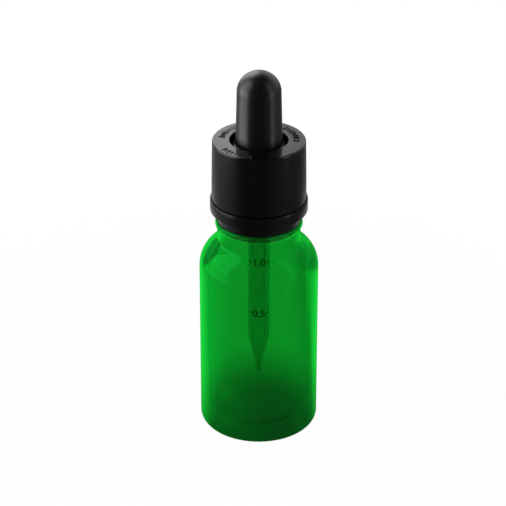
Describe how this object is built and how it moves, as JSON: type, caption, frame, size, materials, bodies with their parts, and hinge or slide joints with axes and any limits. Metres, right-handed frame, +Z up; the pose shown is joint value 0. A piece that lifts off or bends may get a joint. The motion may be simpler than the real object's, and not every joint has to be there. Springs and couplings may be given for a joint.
{
  "type": "dropper bottle",
  "caption": "Round green glass dropper bottle with a push-and-turn closure, tamper-evident band, squeezable rubber bulb and graduated pipette for dosing liquids by the drop.",
  "frame": {"origin": "centre of the base, at the height of the ring that the bottle stands on", "axes": "+Z up along the bottle's axis; the pipette's marks face -Y"},
  "size_m": [0.029, 0.029, 0.094],
  "materials": {
    "green_glass": "polished transparent green glass",
    "band_plastic": "satin black moulded plastic",
    "inner_cap_plastic": "satin black moulded plastic",
    "outer_cap_plastic": "satin black moulded plastic",
    "bulb_rubber": "smooth black rubber with a soft sheen",
    "pipette_plastic": "clear natural plastic"
  },
  "bodies": {
    "bottle": {"bottle": "green_glass"},
    "band": {"tamper_band": "band_plastic"},
    "dropper": {"bulb": "bulb_rubber", "pipette": "pipette_plastic"},
    "inner_cap": {"inner_cap": "inner_cap_plastic"},
    "outer_cap": {"outer_cap": "outer_cap_plastic"}
  },
  "joints": [
    {"name": "band_spin", "type": "hinge", "parent": "bottle", "child": "band", "pos_m": [0, 0, 0.0585], "axis": [0, 0, 1], "continuous": true},
    {"name": "dropper_lift", "type": "slide", "parent": "bottle", "child": "dropper", "axis": [0, 0, 1], "range_m": [0, 0.061]},
    {"name": "closure_turn", "type": "hinge", "parent": "dropper", "child": "inner_cap", "pos_m": [0, 0, 0.0685], "axis": [0, 0, 1], "range_deg": [0, 450]},
    {"name": "push_down", "type": "slide", "parent": "inner_cap", "child": "outer_cap", "axis": [0, 0, -1], "range_m": [0, 0.0005], "stiffness_N_per_m": 3000, "springref_m": -0.0005}
  ]
}
